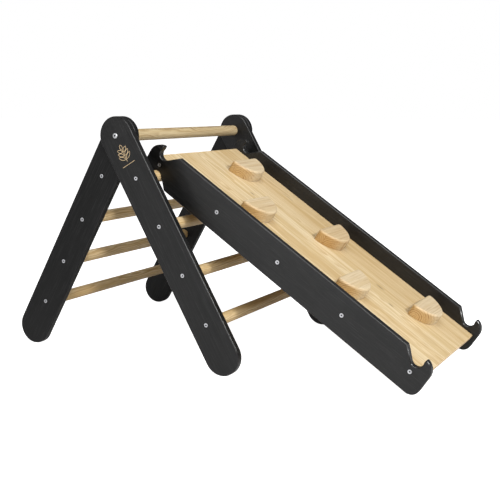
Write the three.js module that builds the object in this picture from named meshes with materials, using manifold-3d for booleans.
// Folding climbing frame with a hooked-on climbing ramp, for a toddler.
//
// Two ladders of the same width meet at a top bar and stand as an A. Each has two stained
// boards and four round rungs. They are staggered sideways by one board thickness, so the
// front ladder's right rail is outside the rear ladder's right rail, and its left rail is
// inside the rear ladder's left rail. The ramp hangs on the front ladder's first rung by
// notches in its two side boards, and its foot rests on the floor.
//
// Millimetres. +Z is up, +X points towards the ramp's foot, and +Y is the left side.
// The origin is on the floor, at the centre of the whole object's box.

import * as THREE from 'three';
import { mergeVertices } from 'three/addons/utils/BufferGeometryUtils.js';
import Module from 'manifold-3d';

// ---------------------------------------------------------------- driving dimensions

const BOARD_WIDTH = 95;          // all black boards
const BOARD_THICKNESS = 18;
const ARRIS = 2;                 // chamfer along the boards' edges
const RUNG_RADIUS = 15;

const LEG_ANGLE = THREE.MathUtils.degToRad(30);   // each ladder from the vertical
const LEG_LENGTH = 600;          // pivot to the centre of the round foot
const FIRST_RUNG = 118.5;        // pivot to the first rung, along the leg
const RUNG_PITCH = 132.5;
const RUNG_COUNT = 4;
const FRAME_WIDTH = 622;         // over both ladders' rails

const RAMP_WIDTH = 448;          // over the ramp's side boards
const RAMP_OFFSET = -2;          // ramp's centre line from the frame's
const RAMP_SCREW_PITCH = 200;
const RAMP_SCREW_COUNT = 5;
const RAMP_END = 42.5;           // end screw to the end of the side board
const CLAW_RADIUS = 32;          // round outer side of each hook claw
const TIP_RADIUS = 3;            // claw's tip
const TIP_REACH = 1;             // how far the tip leans over the notch
const FOOT_RADIUS = 24;          // round corner that rests on the floor
const NOTCH_RADIUS = 15.5;
const NOTCH_START = 0.4;         // angle under the tip where the notch's arc begins
const HOOK_NOTCH = 6;            // centre of the notch on the rung, below the first screw
const HOOK_DEPTH = 30.5;         // and below the board's middle line
const HOOK_LEAD = THREE.MathUtils.degToRad(45);    // slope that leads the rung into it
const SPARE_NOTCH = 1;           // centres of the spare notches, inward from the end screws
const SPARE_RAISE = 32;          // and above the board's middle line
const SPARE_LEAD = THREE.MathUtils.degToRad(43);

const DECK_THICKNESS = 16;
const DECK_INSET = 12.5;         // deck's ends from the side boards' ends

const HOLD_RADIUS = 66;          // half-round climbing block
const HOLD_HEIGHT = 32;
const HOLD_CORNER = 9;           // rounded tips of the half circle
const HOLD_ARRIS = 3;
const HOLD_FIRST = 58;           // straight side of the first block, below the first screw
const HOLD_PITCH = 156;
const HOLD_COUNT = 5;
const HOLD_COLUMNS = [93, -84];  // odd blocks are left of the ramp's centre line, even ones right
const HOLD_SCREW_SPREAD = 36;    // a block's two screws, each side of its own centre line
const HOLD_SCREW_SET = 26;       // and in from its straight side

const GAP = 0.3;                 // left between pieces that touch
const BORE_CLEARANCE = 0.35;     // round each screw and bolt
const BORE_START = 1;            // a bore's cutter starts this far outside the face
const SAME_POINT = 0.01;         // outline points nearer than this are one
const SAME_VERTEX = 1e-4;

const SCREW = { head: 5, rim: 1, neck: 3, cone: 2.4, length: 48, point: 4 };
const HOLD_SCREW = { head: 4, rim: 0.6, neck: 2, cone: 2.2, length: 38, point: 3 };
const BOLT = { head: 7, flat: 4.2, rim: 0.84, dome: 2.4, neck: 4, length: 90 };

const ARC_STEP = THREE.MathUtils.degToRad(15);     // facet of a round outline
const RUNG_SIDES = 20;
const SCREW_SIDES = 8;

// ---------------------------------------------------------------- materials

function material(color, roughness, metalness = 0) {
  return new THREE.MeshStandardMaterial({ color, roughness, metalness });
}

const BLACK = material(0x2b2b2d, 0.55);
const PINE = material(0xd9bd8b, 0.6);
const RUNG_PINE = material(0xcfae7a, 0.6);
const ZINC = material(0xc8cacc, 0.3, 1);

// ---------------------------------------------------------------- solids and outlines

const wasm = await Module();
wasm.setup();

function toSolid(geometry) {
  const bare = geometry.clone();
  bare.deleteAttribute('normal');
  bare.deleteAttribute('uv');
  const merged = mergeVertices(bare, SAME_VERTEX);
  return new wasm.Manifold(new wasm.Mesh({
    numProp: 3,
    vertProperties: new Float32Array(merged.attributes.position.array),
    triVerts: new Uint32Array(merged.index.array),
  }));
}

function drilled(geometry, bores) {
  let solid = toSolid(geometry);
  for (const bore of bores) {
    solid = solid.subtract(toSolid(bore));
  }
  const { vertProperties, triVerts } = solid.getMesh();
  const result = new THREE.BufferGeometry();
  result.setAttribute('position', new THREE.BufferAttribute(vertProperties, 3));
  result.setIndex(new THREE.BufferAttribute(triVerts, 1));
  result.computeVertexNormals();
  return result;
}

// Points [x, y] of an arc, from one angle to another.
function arc(x, y, radius, from, to) {
  const steps = Math.max(2, Math.ceil(Math.abs(to - from) / ARC_STEP));
  return Array.from({ length: steps + 1 }, (_, step) => {
    const angle = from + (to - from) * step / steps;
    return [x + radius * Math.cos(angle), y + radius * Math.sin(angle)];
  });
}

// A closed outline without repeated points.
function outline(points) {
  const apart = ([x, y], index) => {
    const [nextX, nextY] = points[(index + 1) % points.length];
    return Math.hypot(nextX - x, nextY - y) > SAME_POINT;
  };
  return new THREE.Shape(points.filter(apart).map(([x, y]) => new THREE.Vector2(x, y)));
}

// A plate from an outline in X-Y, thickness along +Z from zero, with chamfered edges.
function plate(shape, thickness, chamfer) {
  const geometry = new THREE.ExtrudeGeometry(shape, {
    depth: thickness - 2 * chamfer,
    bevelThickness: chamfer,
    bevelSize: chamfer,
    bevelOffset: -chamfer,
    bevelSegments: 1,
  });
  return geometry.translate(0, 0, chamfer);
}

// A board whose outline lies in X-Z and whose faces are at y = GAP / 2 and
// y = BOARD_THICKNESS - GAP / 2.
function board(points) {
  const geometry = plate(outline(points), BOARD_THICKNESS - GAP, ARRIS);
  return geometry.rotateX(Math.PI / 2).translate(0, BOARD_THICKNESS - GAP / 2, 0);
}

// A turned piece along +Y, from a profile of [radius, distance] pairs.
function turned(profile, sides) {
  return new THREE.LatheGeometry(profile.map(([r, y]) => new THREE.Vector2(r, y)), sides);
}

// ---------------------------------------------------------------- screws and bolts

// A countersunk screw along +Y, its head flush with y = 0. The bore for it is the same shape
// with clearance, and starts outside the face.
function screwShape(screw, clearance = 0, start = 0) {
  const { head, rim, neck, cone, length, point } = screw;
  return turned([
    [0, -start],
    [head + clearance, -start],
    [head + clearance, rim],
    [neck + clearance, rim + cone],
    [neck + clearance, length - point],
    [0, length + clearance],
  ], SCREW_SIDES);
}

const screwBore = (screw) => screwShape(screw, BORE_CLEARANCE, BORE_START);

// A low-domed bolt along +Y; its head stands proud of y = 0.
function boltShape() {
  const { head, flat, rim, dome, neck, length } = BOLT;
  return turned([
    [0, -dome],
    [flat, -dome],
    [head, -rim],
    [head, -GAP / 2],
    [neck, -GAP / 2],
    [neck, length],
    [0, length],
  ], SCREW_SIDES);
}

function boltBore() {
  const radius = BOLT.neck + BORE_CLEARANCE;
  return turned([
    [0, -BORE_START],
    [radius, -BORE_START],
    [radius, BOLT.length],
    [0, BOLT.length],
  ], SCREW_SIDES);
}

// Turns a piece that points along +Y so that it points inwards from the given side.
// side is -1 for the right (-Y) and +1 for the left (+Y); face is the y of its own y = 0.
function fromSide(geometry, side, face) {
  return (side > 0 ? geometry.rotateX(Math.PI) : geometry).translate(0, face, 0);
}

// ---------------------------------------------------------------- the scene

const model = new THREE.Group();

function add(parent, name, geometry, finish, x = 0, y = 0, z = 0) {
  const mesh = new THREE.Mesh(geometry, finish);
  mesh.name = name;
  mesh.position.set(x, y, z);
  parent.add(mesh);
}

const SIDES = [
  { word: 'right', side: -1 },
  { word: 'left', side: 1 },
];

// ---------------------------------------------------------------- ladders

const HALF_BOARD = BOARD_WIDTH / 2;
const HALF_FRAME = FRAME_WIDTH / 2;
const PIVOT_HEIGHT = LEG_LENGTH * Math.cos(LEG_ANGLE) + HALF_BOARD;
const rungDistance = (index) => FIRST_RUNG + RUNG_PITCH * index;
const rungs = Array.from({ length: RUNG_COUNT }, (_, index) => index);

// A rail: round at the pivot, at the origin, and at the foot, down at -Z.
function railShape(side) {
  const rail = board([
    ...arc(0, 0, HALF_BOARD, 0, Math.PI),
    ...arc(0, -LEG_LENGTH, HALF_BOARD, Math.PI, 2 * Math.PI),
  ]);
  const face = side > 0 ? BOARD_THICKNESS - GAP / 2 : GAP / 2;
  const screwBores = rungs.map((index) => (
    fromSide(screwBore(SCREW), side, face).translate(0, 0, -rungDistance(index))));
  return drilled(rail, [boltBore(), ...screwBores]);
}

// A rung along +Y with a blind bore in each end.
function rungShape(length, bore, depth) {
  return turned([
    [0, depth],
    [bore, depth],
    [bore, 0],
    [RUNG_RADIUS, 0],
    [RUNG_RADIUS, length],
    [bore, length],
    [bore, length - depth],
    [0, length - depth],
  ], RUNG_SIDES);
}

// A ladder hangs from the pivot. rightFace is the y of its right rail's outer face.
function addLadder(word, lean, rightFace) {
  const ladder = new THREE.Group();
  ladder.position.z = PIVOT_HEIGHT;
  ladder.rotation.y = lean;
  model.add(ladder);

  const width = FRAME_WIDTH - BOARD_THICKNESS;
  const rungLength = width - 2 * BOARD_THICKNESS - GAP;
  const boreDepth = SCREW.length - BOARD_THICKNESS + 1;
  const rung = rungShape(rungLength, SCREW.neck + BORE_CLEARANCE, boreDepth);
  for (const { word: end, side } of SIDES) {
    const near = side > 0 ? rightFace + width - BOARD_THICKNESS : rightFace;
    const face = side > 0 ? rightFace + width - GAP / 2 : rightFace + GAP / 2;
    add(ladder, `${word}_rail_${end}`, railShape(side), BLACK, 0, near);
    for (const index of rungs) {
      const screw = fromSide(screwShape(SCREW), side, 0);
      add(ladder, `${word}_rung_screw_${index + 1}_${end}`, screw, ZINC, 0, face, -rungDistance(index));
    }
  }
  for (const index of rungs) {
    const start = rightFace + BOARD_THICKNESS + GAP / 2;
    add(ladder, `${word}_rung_${index + 1}`, rung, RUNG_PINE, 0, start, -rungDistance(index));
  }
}

addLadder('front', -LEG_ANGLE, -HALF_FRAME);
addLadder('rear', LEG_ANGLE, -HALF_FRAME + BOARD_THICKNESS);

// ---------------------------------------------------------------- top bar and pivot bolts

const BAR_END = HALF_FRAME - 2 * BOARD_THICKNESS - GAP / 2;
const barBoreDepth = BOLT.length - 2 * BOARD_THICKNESS + 1;
const bar = rungShape(2 * BAR_END, BOLT.neck + BORE_CLEARANCE, barBoreDepth);
add(model, 'top_bar', bar, RUNG_PINE, 0, -BAR_END, PIVOT_HEIGHT);
for (const { word, side } of SIDES) {
  const bolt = fromSide(boltShape(), side, 0);
  add(model, `pivot_bolt_${word}`, bolt, ZINC, 0, side * HALF_FRAME, PIVOT_HEIGHT);
}

// ---------------------------------------------------------------- ramp

// Along the ramp, distances run down from the first screw; across it, up from the side
// boards' middle line.
const RAMP_TOP = -RAMP_END;
const LAST_SCREW = RAMP_SCREW_PITCH * (RAMP_SCREW_COUNT - 1);
const RAMP_BOTTOM = LAST_SCREW + RAMP_END;

// Outline of a claw and its notch, from the board's end face to the top of the lead-in slope.
// notch is the notch's centre along the board and raise its distance from the middle line.
// end and edge are -1 or +1 for the end and the edge that it is at.
function hook(notch, raise, end, edge, lead) {
  const reach = end > 0 ? RAMP_BOTTOM - notch : notch - RAMP_TOP;
  const clawX = reach - CLAW_RADIUS;
  const clawY = HALF_BOARD - CLAW_RADIUS;
  const tipX = NOTCH_RADIUS - TIP_REACH + TIP_RADIUS;
  const tipY = clawY + Math.sqrt((CLAW_RADIUS - TIP_RADIUS) ** 2 - (tipX - clawX) ** 2);
  const tipAngle = Math.atan2(tipY - clawY, tipX - clawX);
  const seatEnd = -Math.PI / 2 - lead;
  const slopeX = NOTCH_RADIUS * Math.cos(seatEnd);
  const slopeY = raise + NOTCH_RADIUS * Math.sin(seatEnd);
  const points = [
    ...arc(clawX, clawY, CLAW_RADIUS, 0, tipAngle),
    ...arc(tipX, tipY, TIP_RADIUS, tipAngle, Math.PI),
    ...arc(0, raise, NOTCH_RADIUS, NOTCH_START, seatEnd),
    [slopeX - (HALF_BOARD - slopeY) / Math.tan(lead), HALF_BOARD],
  ];
  return points.map(([x, y]) => [notch + end * x, edge * y]);
}

function rampSideShape(side) {
  const foot = arc(RAMP_BOTTOM - FOOT_RADIUS, FOOT_RADIUS - HALF_BOARD, FOOT_RADIUS, -Math.PI / 2, 0);
  const sideBoard = board([
    ...foot,
    ...hook(LAST_SCREW - SPARE_NOTCH, SPARE_RAISE, 1, 1, SPARE_LEAD),
    ...hook(SPARE_NOTCH, SPARE_RAISE, -1, 1, SPARE_LEAD).reverse(),
    ...hook(HOOK_NOTCH, HOOK_DEPTH, -1, -1, HOOK_LEAD),
  ]);
  const face = side > 0 ? BOARD_THICKNESS - GAP / 2 : GAP / 2;
  const bores = rampScrews.map((along) => fromSide(screwBore(SCREW), side, face).translate(along, 0, 0));
  return drilled(sideBoard, bores);
}

const rampScrews = Array.from({ length: RAMP_SCREW_COUNT }, (_, index) => RAMP_SCREW_PITCH * index);
const holds = Array.from({ length: HOLD_COUNT }, (_, index) => ({
  number: index + 1,
  along: HOLD_FIRST + HOLD_PITCH * index,
  across: HOLD_COLUMNS[index % 2],
}));
const HOLD_SCREWS = [
  { letter: 'a', offset: -HOLD_SCREW_SPREAD },
  { letter: 'b', offset: HOLD_SCREW_SPREAD },
];

// A screw or bore that points up from the deck's underside.
const upwards = (geometry) => geometry.rotateX(Math.PI / 2).translate(0, 0, -DECK_THICKNESS / 2);

function deckShape() {
  const length = RAMP_BOTTOM - RAMP_TOP - 2 * DECK_INSET;
  const width = RAMP_WIDTH - 2 * BOARD_THICKNESS - GAP;
  const panel = new THREE.BoxGeometry(length, width, DECK_THICKNESS);
  panel.translate((RAMP_TOP + RAMP_BOTTOM) / 2, 0, 0);
  const bores = [];
  for (const { side } of SIDES) {
    for (const along of rampScrews) {
      const bore = fromSide(screwBore(SCREW), side, side * RAMP_WIDTH / 2);
      bores.push(bore.translate(along, 0, 0));
    }
  }
  for (const { along, across } of holds) {
    for (const { offset } of HOLD_SCREWS) {
      bores.push(upwards(screwBore(HOLD_SCREW)).translate(along + HOLD_SCREW_SET, across + offset, 0));
    }
  }
  return drilled(panel, bores);
}

// A half-round block on z = 0 with its straight side at x = 0, uphill.
function holdBlockShape() {
  const reach = HOLD_RADIUS - HOLD_CORNER;
  const offset = Math.sqrt(reach ** 2 - HOLD_CORNER ** 2);
  const tangent = Math.atan2(offset, HOLD_CORNER);
  const shape = outline([
    ...arc(HOLD_CORNER, -offset, HOLD_CORNER, -Math.PI, -tangent),
    ...arc(0, 0, HOLD_RADIUS, -tangent, tangent),
    ...arc(HOLD_CORNER, offset, HOLD_CORNER, tangent, Math.PI),
  ]);
  const block = plate(shape, HOLD_HEIGHT - GAP, HOLD_ARRIS);
  const bores = HOLD_SCREWS.map(({ offset: across }) => {
    const bore = upwards(screwBore(HOLD_SCREW));
    return bore.translate(HOLD_SCREW_SET, across, -DECK_THICKNESS / 2 - GAP);
  });
  return drilled(block, bores);
}

function addRamp() {
  const rungX = rungDistance(0) * Math.sin(LEG_ANGLE);
  const rungZ = PIVOT_HEIGHT - rungDistance(0) * Math.cos(LEG_ANGLE);
  const footAlong = RAMP_BOTTOM - FOOT_RADIUS - HOOK_NOTCH;
  const footAbove = HOOK_DEPTH - (HALF_BOARD - FOOT_RADIUS);
  const slope = Math.asin((rungZ - FOOT_RADIUS) / Math.hypot(footAlong, footAbove))
    + Math.atan2(footAbove, footAlong);

  const tilt = new THREE.Group();
  tilt.position.set(rungX, RAMP_OFFSET, rungZ);
  tilt.rotation.y = slope;
  model.add(tilt);
  const ramp = new THREE.Group();
  ramp.position.set(-HOOK_NOTCH, 0, HOOK_DEPTH);
  tilt.add(ramp);

  add(ramp, 'ramp_deck', deckShape(), PINE);
  for (const { word, side } of SIDES) {
    const near = side > 0 ? RAMP_WIDTH / 2 - BOARD_THICKNESS : -RAMP_WIDTH / 2;
    add(ramp, `ramp_side_${word}`, rampSideShape(side), BLACK, 0, near);
    rampScrews.forEach((along, index) => {
      const screw = fromSide(screwShape(SCREW), side, 0);
      const face = side * (RAMP_WIDTH - GAP) / 2;
      add(ramp, `ramp_screw_${index + 1}_${word}`, screw, ZINC, along, face);
    });
  }
  const block = holdBlockShape();
  const blockFoot = DECK_THICKNESS / 2 + GAP;
  for (const { number, along, across } of holds) {
    add(ramp, `climbing_hold_${number}`, block, PINE, along, across, blockFoot);
    for (const { letter, offset } of HOLD_SCREWS) {
      const screw = upwards(screwShape(HOLD_SCREW));
      add(ramp, `hold_screw_${number}_${letter}`, screw, ZINC, along + HOLD_SCREW_SET, across + offset);
    }
  }
}

addRamp();

// ---------------------------------------------------------------- origin

const whole = new THREE.Box3().setFromObject(model, true);
const centre = whole.getCenter(new THREE.Vector3());
const group = new THREE.Group();
model.position.set(-centre.x, -centre.y, -whole.min.z);
group.add(model);

export default group;
